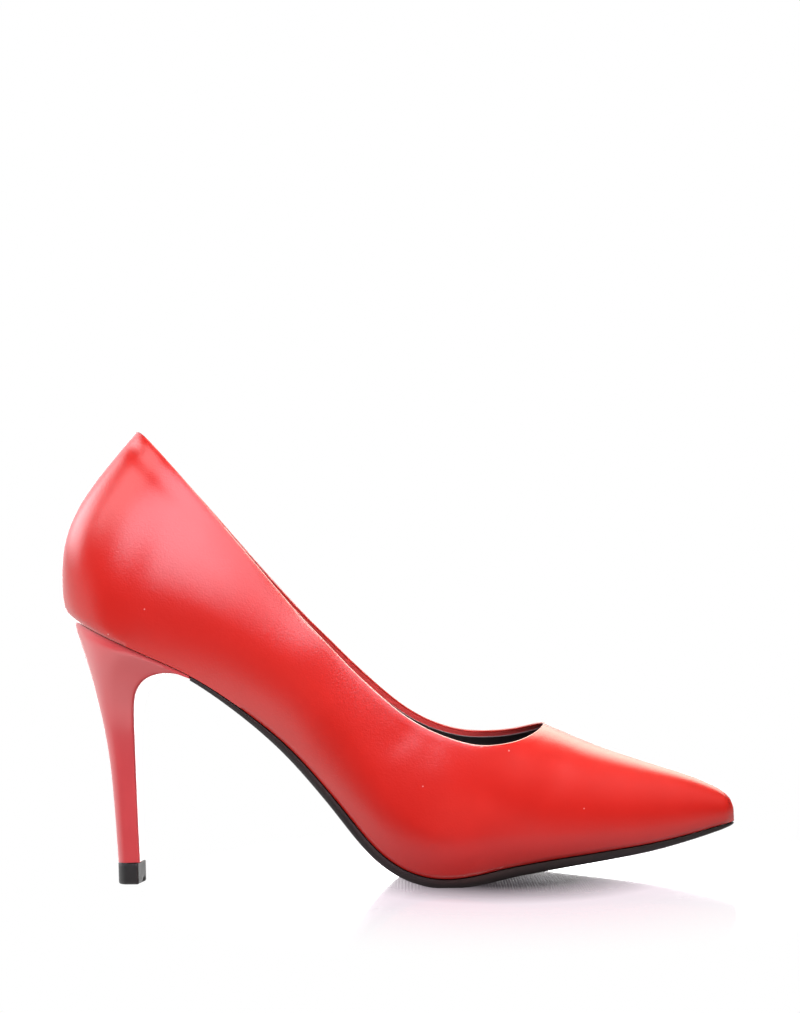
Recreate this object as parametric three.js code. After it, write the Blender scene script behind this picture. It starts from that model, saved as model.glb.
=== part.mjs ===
// A pointed court pump on a slim stiletto heel, for the right foot: a thin upper drawn over its
// last and turned in underneath, an insole, an outsole, a covered heel and its top piece.
// Millimetres, +Z up, +X to the toe, +Y to the inner side of the foot (the big toe's side).
// The origin lies on the floor under the middle of the shoe.
import * as THREE from "three";

// Driving sizes.
const HEEL_BACK = -113.4; // foot of the back curve, where the upper turns in under the heel seat
const TOE_TIP = 117;
const BREAST = -69.5; // front edge of the heel's lip, where the outsole begins
const SEAT_ROUND = 25.4; // length over which the heel seat rounds off at the back
const TOE_ROUND = 5; // length over which the toe rounds off to its blunt point
const THROAT = 51; // front point of the foot's opening
const THROAT_REACH = 18; // length behind it in which the opening's edge turns across the foot
const WALL = 1.6; // upper and lining together
const TURN_IN = 9; // margin of the upper turned in under the insole
const SEAM_GAP = 0.3; // glue line between neighbouring pieces
const INSOLE_THICK = 2;
const INSOLE_INSET = 2.6; // insole edge from the feather edge
const SOLE_INSET = 0.2; // outsole edge from the feather edge
const SOLE_BEVEL = 0.9; // how far the tread's edge is drawn in from the sole's edge
const HEEL_INSET = 0.5; // heel top edge from the feather edge
const TIP_HEIGHT = 7.3; // top piece, the wearing block under the heel
const TIP_BEVEL = 0.5;
const TIP_TWIST = -8; // degrees that the top piece is turned on its axis under the heel

// Counts of the facets.
const SEAT_STEPS = 7;
const TOE_STEPS = 5;
const QUARTER_STEPS = 24;
const THROAT_STEPS = 5;
const VAMP_STEPS = 11;
const LOWER_ROWS = 3;
const UPPER_ROWS = 9;
const SOLE_ACROSS = 6;
const HEEL_ARC = 7;
const HEEL_SIDE = 2;

// A table with named columns: reads "a b c" and rows of numbers into rows of named values.
function table(columns, rows) {
  const names = columns.split(" ");
  return rows.map((row) => Object.fromEntries(names.map((name, k) => [name, row[k]])));
}

// The last, heel to toe, a row for each section. x is where the section stands and swing how far its middle
// lies to the inner side. Feather is the height of its outer bottom edge, arch how much higher the inner
// one is, belly the sag of the bottom between them. Foot and girth are half widths at the feather edge and
// at the widest height, girthAt. Crown is the ridge's height over the feather, full its roundness and lean
// how far the section tips forward.
const LAST = table(
  "x swing feather arch belly outerFoot innerFoot outerGirth innerGirth girthAt crown full lean",
  [
    [-113.4, -1.4, 93.5, 0, 0, 25.2, 24.2, 27.4, 26.4, 19, 100, 1.75, 0.36],
    [-100, -1.4, 87, 0, 0, 25.6, 24.1, 28, 26.5, 19, 92.5, 1.75, 0.38],
    [-88, -1.4, 81.2, 0, 0, 25.6, 23.6, 28.2, 26.4, 19.5, 83, 1.75, 0.4],
    [-70, -1.4, 72.4, 0, 0, 24.8, 21.4, 28, 26, 20, 66.5, 1.75, 0.44],
    [-53, -1.3, 60.6, 1.2, 0.2, 23.2, 18.2, 27.6, 25.6, 20, 54, 1.75, 0.48],
    [-38, -1.1, 47.7, 2.4, 0.4, 22.4, 17, 27.6, 26, 19.5, 50, 1.77, 0.5],
    [-23, -0.8, 30.3, 2.4, 0.6, 24, 20, 29.6, 28.4, 18.5, 58, 1.95, 0.46],
    [-8, -0.4, 11.7, 1.2, 0.8, 28.6, 26.6, 34, 33, 17, 68, 2.3, 0.34],
    [0, -0.2, 6.1, 0.4, 0.9, 31.2, 29.8, 36, 35.2, 16.5, 68, 2.4, 0.27],
    [6, 0, 4, 0, 1, 33.2, 32, 37.2, 36.6, 16, 67, 2.5, 0.22],
    [13, 0, 3, 0, 1, 34.7, 33.8, 37.9, 37.6, 15.5, 65, 2.5, 0.16],
    [20, 0, 3.5, 0, 1, 35.2, 35, 38, 38, 15, 62, 2.45, 0.12],
    [36, 0.4, 6.3, 0, 1, 33, 34.4, 35.5, 36.7, 12, 51.6, 2.25, 0.05],
    [51, 0.9, 7.7, 0, 0.9, 28.2, 29.5, 30.3, 31.3, 9.5, 44.5, 2.08, 0],
    [68, 1.6, 8.9, 0, 0.7, 22, 22, 23.7, 23.6, 8, 35.4, 2, 0],
    [85, 2.3, 10.3, 0, 0.5, 15.8, 15, 17.1, 16.3, 6.5, 27.5, 2, 0],
    [100, 3, 12.5, 0, 0.3, 10.4, 9.9, 11.4, 10.9, 5.2, 20, 2, 0],
    [109, 3.4, 14.2, 0, 0.2, 7.2, 7, 8, 7.8, 4.2, 14.4, 2, 0],
    [113, 3.5, 15, 0, 0.1, 5.9, 5.9, 6.6, 6.6, 3.8, 11.2, 2, 0],
    [115.5, 3.6, 15.3, 0, 0, 5.2, 5.2, 5.8, 5.8, 3.2, 8.4, 2, 0],
    [117, 3.6, 15.4, 0, 0, 4.9, 4.9, 5.4, 5.4, 2.2, 5, 2, 0],
  ],
);

// The back curve of the heel in the middle plane: how far it stands behind (-) or ahead of (+) its foot.
const BACK_CURVE = table("height offset", [
  [0, 0],
  [3.3, -2.8],
  [9.6, -3.6],
  [18.4, -3.4],
  [26, -2.4],
  [37, 1.8],
  [48, 9.4],
  [64, 23.4],
]);

// The opening's edge seen from the side: its height on the outer side, and how much higher the inner one is.
const COLLAR = table("x outer higher", [
  [-90.5, 158.7, 0],
  [-87, 156, 0],
  [-76, 144.3, -2.6],
  [-52, 115, -2],
  [-32, 90.3, -0.4],
  [-12, 68.4, 0.6],
  [4, 54.8, 0.7],
  [16, 48.9, 0.9],
  [28, 45.9, 1.6],
  [38, 46.7, 1.6],
  [46, 49.3, 1.1],
  [51, 52.2, 0],
]);

// Thickness of the outsole, square to its surface.
const SOLE_THICKNESS = table("x thick", [
  [BREAST, 1.2],
  [-53, 1.9],
  [-35, 2.7],
  [0, 2.9],
  [30, 3.4],
  [70, 3],
  [100, 2.2],
  [117, 1.4],
]);

// The heel below its seat, a row for each section: its back and front points in the middle plane, half
// its width, and the share of its length that the round back takes.
const HEEL_SECTIONS = table("backX backZ frontX frontZ half round", [
  [-112.7, 91, -69.9, 71.2, 24.2, 0.58],
  [-112, 88, -76.6, 73.4, 23.2, 0.58],
  [-110.7, 84, -82.4, 73.4, 20.8, 0.57],
  [-109.3, 79, -87.6, 70.9, 17.2, 0.56],
  [-107.6, 72.5, -90.7, 66.6, 13.2, 0.55],
  [-105.6, 63, -92.1, 60, 9, 0.54],
  [-103.9, 54, -92.5, 53, 6.8, 0.53],
  [-102.3, 42, -92.6, 42, 5.6, 0.52],
  [-101.2, 26, -92.5, 26, 5, 0.52],
  [-100.4, TIP_HEIGHT + SEAM_GAP, -92.2, TIP_HEIGHT + SEAM_GAP, 4.7, 0.52],
]);

// The top piece: the heel's foot carried down to the floor.
const TIP_SECTIONS = table("backX backZ frontX frontZ half round", [
  [-100.4, TIP_HEIGHT, -92.1, TIP_HEIGHT, 4.7, 0.52],
  [-100.4, TIP_BEVEL, -92.1, TIP_BEVEL, 4.7, 0.52],
  [-100.4 + TIP_BEVEL, 0, -92.1 - TIP_BEVEL, 0, 4.7 - TIP_BEVEL, 0.52],
]);

const OUTER = { sign: -1, foot: "outerFoot", girth: "outerGirth" };
const INNER = { sign: 1, foot: "innerFoot", girth: "innerGirth" };
const SIDES = [OUTER, INNER];

const lerp = THREE.MathUtils.lerp;
const clamp = THREE.MathUtils.clamp;

// A smooth curve through one column of a table, whose cubic pieces never overshoot their rows.
function curve(rows, column, along = "x") {
  const at = rows.map((row) => row[along]);
  const value = rows.map((row) => row[column]);
  const last = at.length - 1;
  const rise = at.slice(1).map((a, k) => (value[k + 1] - value[k]) / (a - at[k]));
  const slope = value.map((_, k) => {
    if (k === 0) return rise[0];
    if (k === last) return rise[last - 1];
    const [before, after] = [rise[k - 1], rise[k]];
    return before * after <= 0 ? 0 : (2 * before * after) / (before + after);
  });
  return (x) => {
    if (x <= at[0]) return value[0] + rise[0] * (x - at[0]);
    if (x >= at[last]) return value[last] + rise[last - 1] * (x - at[last]);
    const k = at.findIndex((a) => a > x) - 1;
    const span = at[k + 1] - at[k];
    const t = (x - at[k]) / span;
    const [start, end] = [slope[k] * span, slope[k + 1] * span];
    const step = value[k + 1] - value[k];
    return value[k] + t * (start + t * (3 * step - 2 * start - end + t * (start + end - 2 * step)));
  };
}

const last = Object.fromEntries(Object.keys(LAST[0]).map((name) => [name, curve(LAST, name)]));
const collarOuter = curve(COLLAR, "outer");
const collarHigher = curve(COLLAR, "higher");
const soleThickness = curve(SOLE_THICKNESS, "thick");
const backOffset = curve(BACK_CURVE, "offset", "height");

// Share of the full width that is left where the plan rounds off at the heel and at the toe.
function closing(x) {
  const seat = clamp((HEEL_BACK + SEAT_ROUND - x) / SEAT_ROUND, 0, 1);
  const toe = clamp((x - TOE_TIP + TOE_ROUND) / TOE_ROUND, 0, 1);
  return Math.sqrt(1 - seat * seat) * Math.sqrt(1 - toe * toe);
}

// Height of the upper's underside, at an offset from the middle of the section.
function underside(x, offset) {
  const share = clamp(offset / (offset < 0 ? last.outerFoot(x) : last.innerFoot(x)), -1, 1);
  return last.feather(x) + (last.arch(x) * (1 + share)) / 2 - last.belly(x) * (1 - share * share);
}

// Upward normal of the underside, in the plane of the shoe's length.
function undersideNormal(x) {
  const reach = 0.5;
  const slope = (last.feather(x + reach) - last.feather(x - reach)) / (2 * reach);
  return new THREE.Vector3(-slope, 0, 1).normalize();
}

// A point of the plan drawn in from the feather edge. Only the ends move along the foot, the pointed toe
// more than the heel.
function insetPlan(x, side, inset) {
  const toeDraw = 2.2;
  const leastShare = 0.35;
  const heelEnd = 1 - THREE.MathUtils.smoothstep(x, HEEL_BACK, BREAST);
  const toeEnd = THREE.MathUtils.smoothstep(x, THROAT, TOE_TIP);
  const moved = x + inset * heelEnd - toeDraw * inset * toeEnd;
  const foot = last[side.foot](moved);
  const half = closing(x) * Math.max(foot - inset, leastShare * foot);
  return { x: moved, offset: side.sign * half };
}

// How far a section's point at this height stands ahead of the section's foot.
function leanAt(x, height) {
  const fadeLength = 34;
  const fade = 1 - THREE.MathUtils.smoothstep(x, HEEL_BACK, HEEL_BACK + fadeLength);
  return lerp(last.lean(x) * height, backOffset(height), fade);
}

// The upper's outer face on one section and side, at a height over the feather edge.
function wallPoint(x, side, height) {
  const girthAt = last.girthAt(x);
  const [foot, girth] = [last[side.foot](x), last[side.girth](x)];
  let half;
  if (height < girthAt) {
    half = girth - (girth - foot) * (1 - height / girthAt) ** 2;
  } else {
    const share = clamp((height - girthAt) / (last.crown(x) - girthAt), 0, 1);
    half = girth * (1 - share ** last.full(x)) ** (1 / last.full(x));
  }
  const base = last.feather(x) + (side === INNER ? last.arch(x) : 0);
  const y = last.swing(x) + side.sign * closing(x) * half;
  return new THREE.Vector3(x + leanAt(x, height), y, base + height);
}

// Height at which a section's wall ends: at the opening's edge, or at the ridge ahead of the throat.
function wallTop(x, side) {
  if (x >= THROAT) return last.crown(x);
  let [low, high] = [0, last.crown(x)];
  for (let step = 0; step < 40; step++) {
    const middle = (low + high) / 2;
    const point = wallPoint(x, side, middle);
    const edge = collarOuter(point.x) + (side === INNER ? collarHigher(point.x) : 0);
    if (point.z < edge) low = middle;
    else high = middle;
  }
  return low;
}

// Heights of the wall's rows: even steps to the girth, then turns of the rounded section. Behind, the turns
// share out the wall up to its edge; at the vamp they stay in line from section to section.
function wallHeights(x, side) {
  const firstHeight = 1.5;
  const girthAt = last.girthAt(x);
  const above = last.crown(x) - girthAt;
  const power = 2 / last.full(x);
  const endTurn = Math.asin(((wallTop(x, side) - girthAt) / above) ** (1 / power));
  const inLine = THREE.MathUtils.smoothstep(x, 0, THROAT - THROAT_REACH);
  const fullTurn = lerp(endTurn, Math.PI / 2, inLine);
  const lower = Array.from({ length: LOWER_ROWS }, (_, k) => lerp(firstHeight, girthAt, k / LOWER_ROWS));
  const upper = Array.from({ length: UPPER_ROWS }, (_, k) => {
    const turn = Math.min(endTurn, (fullTurn * k) / (UPPER_ROWS - 1));
    return girthAt + above * Math.sin(turn) ** power;
  });
  return [...lower, ...upper];
}

// Places of the sections along the last, closer together where the plan or the opening turns.
function stations() {
  const quarter = Math.PI / 2;
  const steps = (count) => Array.from({ length: count }, (_, k) => k / count);
  const seatEnd = HEEL_BACK + SEAT_ROUND;
  const toeStart = TOE_TIP - TOE_ROUND;
  return [
    ...steps(SEAT_STEPS).map((t) => seatEnd - SEAT_ROUND * Math.cos(quarter * t)),
    ...steps(QUARTER_STEPS).map((t) => lerp(seatEnd, THROAT - THROAT_REACH, t)),
    ...steps(THROAT_STEPS).map((t) => THROAT - THROAT_REACH * (1 - t) ** 2),
    ...steps(VAMP_STEPS).map((t) => lerp(THROAT, toeStart, t)),
    ...steps(TOE_STEPS).map((t) => toeStart + TOE_ROUND * Math.sin(quarter * t)),
    TOE_TIP,
  ];
}

// Collects points, each kept once, and the faces between rows of them.
class Skin {
  points = [];
  faces = [];
  numbers = new Map();

  point(p) {
    const key = [p.x, p.y, p.z].map((v) => Math.round(v * 1e4)).join();
    if (!this.numbers.has(key)) {
      this.numbers.set(key, this.points.length);
      this.points.push(p);
    }
    return this.numbers.get(key);
  }

  row(points) {
    return points.map((p) => this.point(p));
  }

  triangle(a, b, c) {
    if (a !== b && b !== c && c !== a) this.faces.push(a, b, c);
  }

  // Quads between two rows of point numbers; turned says which way they face.
  strip(from, to, turned = false) {
    for (let k = 0; k + 1 < from.length; k++) {
      const [a, b, c, d] = [from[k], from[k + 1], to[k + 1], to[k]];
      if (turned) {
        this.triangle(a, c, b);
        this.triangle(a, d, c);
      } else {
        this.triangle(a, b, c);
        this.triangle(a, c, d);
      }
    }
  }

  geometry() {
    const geometry = new THREE.BufferGeometry().setFromPoints(this.points);
    geometry.setIndex(this.faces);
    geometry.computeVertexNormals();
    return geometry;
  }
}

// Rings of equal length joined into one closed body, with both ends covered across the ring's middle.
function bodyOfRings(rings) {
  const skin = new Skin();
  const rows = rings.map((ring) => skin.row([...ring, ring[0]]));
  for (let k = 0; k + 1 < rows.length; k++) skin.strip(rows[k], rows[k + 1]);
  const cover = (row, turned) => {
    const half = Math.floor((row.length - 1) / 2);
    const left = row.slice(0, half);
    const right = row.slice(half, 2 * half).reverse();
    skin.strip(left, right, turned);
  };
  cover(rows[0], true);
  cover(rows[rows.length - 1], false);
  return skin.geometry();
}

// A point above the underside, along the lean of its section.
function raised(x, offset, height) {
  const z = underside(x, offset) + height;
  return new THREE.Vector3(x + last.lean(x) * height, last.swing(x) + offset, z);
}

// A point off the underside, square to it along the shoe's length.
function shifted(x, offset, distance) {
  const point = new THREE.Vector3(x, last.swing(x) + offset, underside(x, offset));
  return point.addScaledVector(undersideNormal(x), distance);
}

// Points of the upper that are not on its wall: the rounded bottom edge and the margin turned in.
function turnInPoints(x, side) {
  const edgeRound = 1.4;
  const cornerIn = 0.35;
  const cornerUp = 0.45;
  const rootIn = 2.3;
  const at = (inset, height) => {
    const plan = insetPlan(x, side, inset);
    return raised(plan.x, plan.offset, height);
  };
  return {
    under: [at(TURN_IN, 0), at(TURN_IN / 2, 0), at(edgeRound, 0), at(cornerIn, cornerUp)],
    over: [at(TURN_IN, WALL), at(TURN_IN / 2, WALL), at(rootIn, WALL)],
  };
}

// The upper: outer face, lining face, turned-in margin and the folded edge of the opening.
function upperGeometry() {
  const places = stations();
  const wall = new Skin();
  const outerRows = SIDES.map((side) =>
    places.map((x) => wall.row(wallHeights(x, side).map((height) => wallPoint(x, side, height)))),
  );
  SIDES.forEach((side, s) => {
    for (let k = 0; k + 1 < places.length; k++) {
      wall.strip(outerRows[s][k], outerRows[s][k + 1], side === OUTER);
    }
  });
  const normals = wall.geometry().getAttribute("normal");
  const normalAt = (number) => new THREE.Vector3().fromBufferAttribute(normals, number);
  const lining = (number) => wall.points[number].clone().addScaledVector(normalAt(number), -WALL);
  const rising = (numbers) => {
    const end = numbers[numbers.length - 1];
    const before = numbers.findLast((number) => number !== end);
    return wall.points[end].clone().sub(wall.points[before]).normalize();
  };

  const foldRise = 0.5;
  const skin = new Skin();
  SIDES.forEach((side, s) => {
    const columns = places.map((x, k) => {
      const numbers = outerRows[s][k];
      const turnIn = turnInPoints(x, side);
      const outside = [...turnIn.under, ...numbers.map((number) => wall.points[number])];
      const inside = [...turnIn.over, ...numbers.slice(1).map(lining)];
      const fold = [];
      if (x < THROAT) {
        const middle = outside[outside.length - 1].clone().lerp(inside[inside.length - 1], 0.5);
        fold.push(middle.addScaledVector(rising(numbers), foldRise));
      }
      return { outside: skin.row(outside), inside: skin.row(inside), fold: skin.row(fold) };
    });
    const end = (row) => row[row.length - 1];
    for (let k = 0; k + 1 < places.length; k++) {
      const [here, next] = [columns[k], columns[k + 1]];
      const turned = side === OUTER;
      skin.strip(here.outside, next.outside, turned);
      skin.strip(here.inside, next.inside, !turned);
      skin.strip([here.inside[0], here.outside[0]], [next.inside[0], next.outside[0]], turned);
      if (places[k] >= THROAT) continue;
      const edge = (column) => [end(column.outside), ...column.fold, end(column.inside)];
      const [from, to] = [edge(here), edge(next)];
      if (to.length === from.length) {
        skin.strip(from, to, turned);
      } else {
        const [a, b, c] = from;
        const [d, e] = to;
        const cover = turned ? [[a, d, b], [b, d, e], [b, e, c]] : [[a, b, d], [b, e, d], [b, c, e]];
        cover.forEach((corners) => skin.triangle(...corners));
      }
    }
  });
  return skin.geometry();
}

// A plate under or in the upper: rings across the foot, top row one way and bottom row back.
function plateGeometry(places, inset, bevel, topAt, bottomAt) {
  const across = Array.from({ length: SOLE_ACROSS + 1 }, (_, k) => 1 - (2 * k) / SOLE_ACROSS);
  const rings = places.map((x) => {
    const row = (drawnIn, heightAt) =>
      across.map((share) => {
        const plan = insetPlan(x, share < 0 ? OUTER : INNER, drawnIn);
        return heightAt(plan.x, Math.abs(share) * plan.offset);
      });
    return [...row(inset, topAt), ...row(inset + bevel, bottomAt).reverse()];
  });
  return bodyOfRings(rings);
}

function insoleGeometry() {
  const low = WALL + SEAM_GAP;
  return plateGeometry(
    stations(),
    INSOLE_INSET,
    0,
    (x, offset) => raised(x, offset, low + INSOLE_THICK),
    (x, offset) => raised(x, offset, low),
  );
}

// The outsole, from the heel's lip to the toe; what would sink below the floor is worn flat on it.
function outsoleGeometry() {
  const places = [BREAST + SEAM_GAP, ...stations().filter((x) => x > BREAST + 2)];
  const onFloor = (p) => p.setZ(Math.max(p.z, 0));
  return plateGeometry(
    places,
    SOLE_INSET,
    SOLE_BEVEL,
    (x, offset) => shifted(x, offset, -SEAM_GAP),
    (x, offset) => onFloor(shifted(x, offset, -SEAM_GAP - soleThickness(x))),
  );
}

// A ring of the heel: down the outer side, round the back, up the inner side.
function heelRing(pointAt, round) {
  const arc = Array.from({ length: HEEL_ARC }, (_, k) => {
    const turn = (Math.PI / 2) * (k / (HEEL_ARC - 1));
    return { along: round * (1 - Math.cos(turn)), wide: Math.sin(turn) };
  });
  const straight = Array.from({ length: HEEL_SIDE }, (_, k) => ({
    along: lerp(round, 1, (k + 1) / HEEL_SIDE),
    wide: 1,
  }));
  const profile = [...arc, ...straight];
  const outer = profile.map(({ along, wide }) => pointAt(along, -wide)).reverse();
  const inner = profile.map(({ along, wide }) => pointAt(along, wide));
  return [...outer, ...inner];
}

function sectionRing(section) {
  const { backX, backZ, frontX, frontZ, half, round } = section;
  const middle = last.swing(HEEL_BACK);
  const pointAt = (along, wide) =>
    new THREE.Vector3(lerp(backX, frontX, along), middle + half * wide, lerp(backZ, frontZ, along));
  return heelRing(pointAt, round);
}

// The covered heel: its cupped top lies under the heel seat, its sections taper to the top piece.
function heelGeometry() {
  const back = HEEL_BACK + HEEL_INSET;
  const round = SEAT_ROUND / (BREAST - back);
  const seatPoint = (along, wide) => {
    const x = lerp(back, BREAST, along);
    const foot = wide < 0 ? last.outerFoot(x) : last.innerFoot(x);
    return shifted(x, wide * (foot - HEEL_INSET), -SEAM_GAP);
  };
  return bodyOfRings([heelRing(seatPoint, round), ...HEEL_SECTIONS.map(sectionRing)]);
}

function tipGeometry() {
  const middleX = (TIP_SECTIONS[0].backX + TIP_SECTIONS[0].frontX) / 2;
  const middleY = last.swing(HEEL_BACK);
  return bodyOfRings(TIP_SECTIONS.map(sectionRing))
    .translate(-middleX, -middleY, 0)
    .rotateZ(THREE.MathUtils.degToRad(TIP_TWIST))
    .translate(middleX, middleY, 0);
}

function finish(color, roughness) {
  return new THREE.MeshStandardMaterial({ color, roughness, metalness: 0 });
}

function piece(name, geometry, material) {
  const mesh = new THREE.Mesh(geometry, material);
  mesh.name = name;
  return mesh;
}

const redLeather = finish(0xd02424, 0.42);
const heelCover = finish(0xc83236, 0.38);
const blackSock = finish(0x1c191a, 0.8);
const blackSole = finish(0x242323, 0.55);
const blackRubber = finish(0x2a2929, 0.6);

const pump = new THREE.Group();
pump.add(piece("upper", upperGeometry(), redLeather));
pump.add(piece("insole", insoleGeometry(), blackSock));
pump.add(piece("outsole", outsoleGeometry(), blackSole));
pump.add(piece("heel", heelGeometry(), heelCover));
pump.add(piece("heel_tip", tipGeometry(), blackRubber));

export default pump;
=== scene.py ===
"""Looks of a red pointed-toe stiletto pump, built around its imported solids.

The shoe's own sizes are in millimetres, and meshes are made in metres. +X runs to the toe,
+Y to the inner side of the right foot and +Z up. The outer side faces the camera.
"""
import math

import bpy
import numpy as np
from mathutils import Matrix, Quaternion, Vector
from mathutils.kdtree import KDTree


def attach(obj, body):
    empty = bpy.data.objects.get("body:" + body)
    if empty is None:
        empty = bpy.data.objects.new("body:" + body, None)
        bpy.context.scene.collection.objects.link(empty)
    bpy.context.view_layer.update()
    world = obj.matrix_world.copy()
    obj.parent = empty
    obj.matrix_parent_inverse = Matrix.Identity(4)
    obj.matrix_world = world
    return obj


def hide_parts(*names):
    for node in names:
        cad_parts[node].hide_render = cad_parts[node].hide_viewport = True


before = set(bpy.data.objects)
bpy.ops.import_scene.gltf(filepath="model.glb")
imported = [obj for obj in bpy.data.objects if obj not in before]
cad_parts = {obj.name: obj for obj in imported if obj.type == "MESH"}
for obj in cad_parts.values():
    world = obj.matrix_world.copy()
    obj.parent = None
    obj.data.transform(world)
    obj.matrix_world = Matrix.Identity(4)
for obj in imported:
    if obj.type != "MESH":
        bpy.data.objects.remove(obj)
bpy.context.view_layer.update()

MM = 0.001
SIDES = ("outer", "inner")
OUTER = ("outer",)
SIGN = {"outer": -1.0, "inner": 1.0}

# Driving sizes of the shoe, in millimetres
HEEL_BACK = -113.4
TOE_TIP = 117.0
BREAST = -69.5
SEAT_ROUND = 25.4
TOE_ROUND = 5.0
THROAT = 51.0
THROAT_REACH = 18.0
FEATHER_RISE = 1.5
TURN_IN = 9.0
WALL = 1.6
LEATHER = 1.1
LINING_GAP = 0.03
LINING_BELOW_EDGE = 1.9
INSOLE_THICK = 2.0
INSOLE_INSET = 2.1
SEAM_GAP = 0.3
SOLE_INSET = 0.2
HEEL_INSET = 0.5
TIP_HEIGHT = 7.3
EASE = 3.5
COLLAR_BACK = -90.5
PEAK = 158.7
PEAK_SOFTNESS = 1.4
BACK_LINE_REACH = 34.0
TOE_INSET_SHARE = 2.2
LEAST_FOOT_SHARE = 0.35

# Sections of the last: plan, underside, girth and crown at each station
LAST_COLUMNS = ("x swing feather arch belly outerFoot innerFoot outerGirth innerGirth"
                " girthAt crown full lean")
LAST_ROWS = [
    [HEEL_BACK, -1.4, 93.5, 0, 0, 25.2, 24.2, 27.4, 26.4, 19, 100, 1.75, 0.36],
    [-100, -1.4, 87, 0, 0, 25.6, 24.1, 28, 26.5, 19, 92.5, 1.75, 0.38],
    [-88, -1.4, 81.2, 0, 0, 25.6, 23.6, 28.2, 26.4, 19.5, 83, 1.75, 0.4],
    [-70, -1.4, 72.4, 0, 0, 24.8, 21.4, 28, 26, 20, 66.5, 1.75, 0.44],
    [-53, -1.3, 60.6, 1.2, 0.2, 23.2, 18.2, 27.6, 25.6, 20, 54, 1.75, 0.48],
    [-38, -1.1, 47.7, 2.4, 0.4, 22.4, 17, 27.6, 26, 19.5, 50, 1.77, 0.5],
    [-23, -0.8, 30.3, 2.4, 0.6, 24, 20, 29.6, 28.4, 18.5, 58, 1.95, 0.46],
    [-8, -0.4, 11.7, 1.2, 0.8, 28.6, 26.6, 34, 33, 17, 68, 2.3, 0.34],
    [0, -0.2, 6.1, 0.4, 0.9, 31.2, 29.8, 36, 35.2, 16.5, 68, 2.4, 0.27],
    [6, 0, 4, 0, 1, 33.2, 32, 37.2, 36.6, 16, 67, 2.5, 0.22],
    [13, 0, 3, 0, 1, 34.7, 33.8, 37.9, 37.6, 15.5, 65, 2.5, 0.16],
    [20, 0, 3.5, 0, 1, 35.2, 35, 38, 38, 15, 62, 2.45, 0.12],
    [36, 0.4, 6.3, 0, 1, 33, 34.4, 35.5, 36.7, 12, 51.6, 2.25, 0.05],
    [51, 0.9, 7.7, 0, 0.9, 28.2, 29.5, 30.3, 31.3, 9.5, 44.5, 2.08, 0],
    [68, 1.6, 8.9, 0, 0.7, 22, 22, 23.7, 23.6, 8, 35.4, 2, 0],
    [85, 2.3, 10.3, 0, 0.5, 15.8, 15, 17.1, 16.3, 6.5, 27.5, 2, 0],
    [100, 3, 12.5, 0, 0.3, 10.4, 9.9, 11.4, 10.9, 5.2, 20, 2, 0],
    [109, 3.4, 14.2, 0, 0.2, 7.2, 7, 8, 7.8, 4.2, 14.4, 2, 0],
    [113, 3.5, 15, 0, 0.1, 5.9, 5.9, 6.6, 6.6, 3.8, 11.2, 2, 0],
    [115.5, 3.6, 15.3, 0, 0, 5.2, 5.2, 5.8, 5.8, 3.2, 8.4, 2, 0],
    [TOE_TIP, 3.6, 15.4, 0, 0, 4.9, 4.9, 5.4, 5.4, 2.2, 5, 2, 0],
]

# How far the back line stands ahead of the heel point at each height above the feather line
BACK_TOP = 64.0
BACK_ROWS = [
    [0, 0], [3.3, -2.8], [9.6, -3.6], [18.4, -3.4], [26, -2.4], [37, 1.8], [48, 9.4],
    [BACK_TOP, 23.4],
]

# Height of the topline on the outer side, and how much higher it is on the inner side
COLLAR_ROWS = [
    [COLLAR_BACK, PEAK, 0], [-87, 156, -0.9], [-76, 144.3, -2.6], [-52, 115, -2], [-32, 90.3, -0.4],
    [-12, 68.4, 0.6], [4, 54.8, 0.7], [16, 48.9, 0.9], [28, 45.9, 1.6], [38, 46.7, 1.6],
    [46, 49.3, 1.1], [THROAT, 52.2, 0],
]

# Thickness of the sole from the heel's breast to the toe
SOLE_ROWS = [
    [BREAST, 1.2], [-53, 1.9], [-35, 2.7], [0, 2.9], [30, 3.4], [70, 3], [100, 2.2], [TOE_TIP, 1.4],
]

# Heel sections from the seat down: back point, front point, half width and share of round back
HEEL_COLUMNS = "backX backZ frontX frontZ half round"
HEEL_ROWS = [
    [-112.7, 91, -69.9, 71.2, 24.2, 0.58],
    [-112, 88, -76.6, 73.4, 23.2, 0.58],
    [-110.7, 84, -82.4, 73.4, 20.8, 0.57],
    [-109.3, 79, -87.6, 70.9, 17.2, 0.56],
    [-107.6, 72.5, -90.7, 66.6, 13.2, 0.55],
    [-105.6, 63, -92.1, 60, 9, 0.54],
    [-103.9, 54, -92.5, 53, 6.8, 0.53],
    [-102.3, 42, -92.6, 42, 5.6, 0.52],
    [-101.2, 26, -92.5, 26, 5, 0.52],
    [-100.4, 7.6, -92.2, 7.6, 4.7, 0.52],
]

# Steps of the sections along the shoe, and rows of the walls below and above the girth
SEAT_STEPS = 30
WAIST_STEPS = 88
THROAT_STEPS = 30
THROAT_AHEAD = 6.0
THROAT_AHEAD_STEPS = 25
VAMP_STEPS = 40
TOE_STEPS = 16
UPPER_ROWS = (12, 46)
LINING_ROWS = (8, 40)
TURN_IN_ROWS = 8

# Points that agree to this many decimals of a millimetre are one
MERGE_DIGITS = 4


def table(columns, rows):
    """The columns of a table by name."""
    values = np.array(rows, float)
    return {name: values[:, k] for k, name in enumerate(columns.split())}


def smoothstep(x, low, high):
    t = np.clip((x - low) / (high - low), 0, 1)
    return t * t * (3 - 2 * t)


def blend(start, end, share):
    return start + (end - start) * share


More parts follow.
